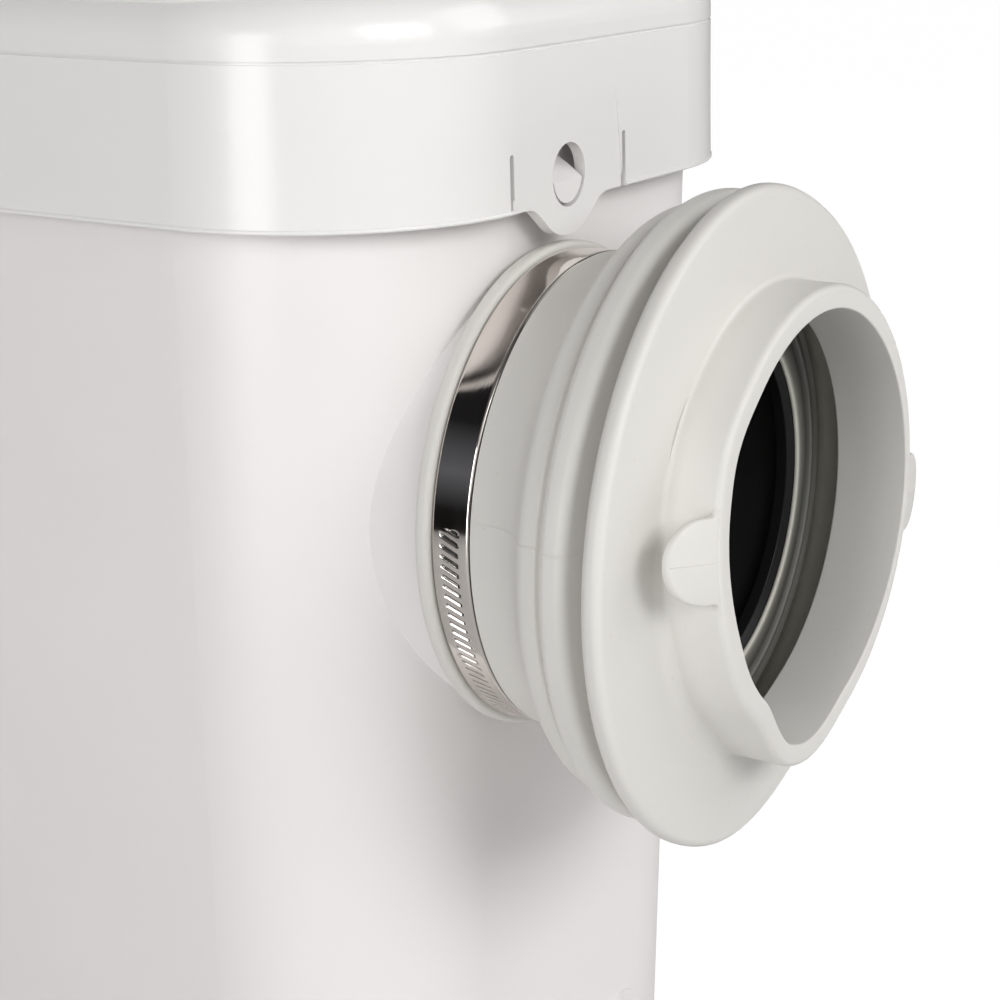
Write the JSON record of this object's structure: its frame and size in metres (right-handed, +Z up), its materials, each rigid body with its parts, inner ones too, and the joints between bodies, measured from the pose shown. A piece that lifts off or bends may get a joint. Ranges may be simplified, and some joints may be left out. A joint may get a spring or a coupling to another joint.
{
  "type": "macerator sewage pump",
  "caption": "White box-shaped macerator pump with a clipped lid and a rubber toilet inlet sleeve held by a worm drive clamp",
  "frame": {"origin": "on the floor under the middle of the tank", "axes": "+Z up, -Y out of the toilet inlet, +X to the left of someone who faces the inlet"},
  "size_m": [0.2054, 0.4521, 0.2895],
  "materials": {
    "white_gloss": "glossy white moulded plastic",
    "white_satin": "satin white moulded plastic",
    "grey_plastic": "grey moulded plastic",
    "dark_plastic": "black moulded plastic",
    "pale_rubber": "off-white rubber",
    "black_rubber": "black rubber",
    "polished_steel": "bright rolled stainless steel",
    "steel": "machined stainless steel",
    "aluminium": "die-cast aluminium",
    "copper": "lacquered copper wire"
  },
  "bodies": {
    "housing": {"tank": "white_satin", "foot_front_left": "black_rubber", "foot_front_right": "black_rubber", "foot_back_left": "black_rubber", "foot_back_right": "black_rubber", "lid": "white_gloss", "lid_seal": "black_rubber", "vent_filter": "black_rubber", "inlet_sleeve": "pale_rubber", "clamp_band": "polished_steel", "clamp_housing": "polished_steel", "inlet_tube": "dark_plastic", "strainer_basket": "grey_plastic", "cutter_grate": "steel", "pump_casing": "grey_plastic", "motor_cover": "aluminium", "motor_housing": "aluminium", "motor_screws": "steel", "bearing_front": "steel", "bearing_rear": "steel", "shaft_seal": "black_rubber", "stator": "steel", "stator_coils": "copper", "motor_saddle_front": "black_rubber", "motor_saddle_back": "black_rubber", "dip_tube": "grey_plastic", "switch_diaphragm": "black_rubber", "switch_cap": "grey_plastic", "microswitch": "dark_plastic", "electrical_box": "grey_plastic", "electrical_box_lid": "grey_plastic", "start_capacitor": "dark_plastic", "terminal_block": "dark_plastic", "riser_hose": "black_rubber", "valve_body": "grey_plastic", "flap_pin": "steel", "outlet_nut": "grey_plastic", "side_cap_left": "black_rubber", "side_cap_band_left": "polished_steel", "side_cap_right": "black_rubber", "side_cap_band_right": "polished_steel", "cable_gland": "dark_plastic", "gland_nut": "dark_plastic", "gland_locknut": "dark_plastic"},
    "rotor": {"rotor": "steel", "motor_shaft": "steel", "impeller": "dark_plastic", "shaft_spacer": "steel", "cutter_blade": "steel", "cutter_nut": "steel"},
    "clamp_screw": {"clamp_screw": "polished_steel"},
    "elbow": {"discharge_elbow": "grey_plastic"},
    "flap": {"non_return_flap": "black_rubber"},
    "plunger": {"switch_plunger": "dark_plastic"}
  },
  "joints": [
    {"name": "rotor_spin", "type": "hinge", "parent": "housing", "child": "rotor", "pos_m": [-0.0159, 0, 0.08796], "axis": [0, 1, 0], "continuous": true},
    {"name": "clamp_screw_turn", "type": "hinge", "parent": "housing", "child": "clamp_screw", "pos_m": [0.02858, -0.1673, 0.14525], "axis": [0.6157, 0, 0.788], "continuous": true},
    {"name": "elbow_swivel", "type": "hinge", "parent": "housing", "child": "elbow", "pos_m": [0.00996, 0.175, 0.206], "axis": [0, 1, 0], "range_deg": [-90, 90]},
    {"name": "flap_swing", "type": "hinge", "parent": "housing", "child": "flap", "pos_m": [0.00996, 0.11565, 0.2208], "axis": [1, 0, 0], "range_deg": [0, 55]},
    {"name": "plunger_lift", "type": "slide", "parent": "housing", "child": "plunger", "axis": [0, 0, 1], "range_m": [0, 0.002], "stiffness_N_per_m": 100, "springref_m": -0.001}
  ]
}
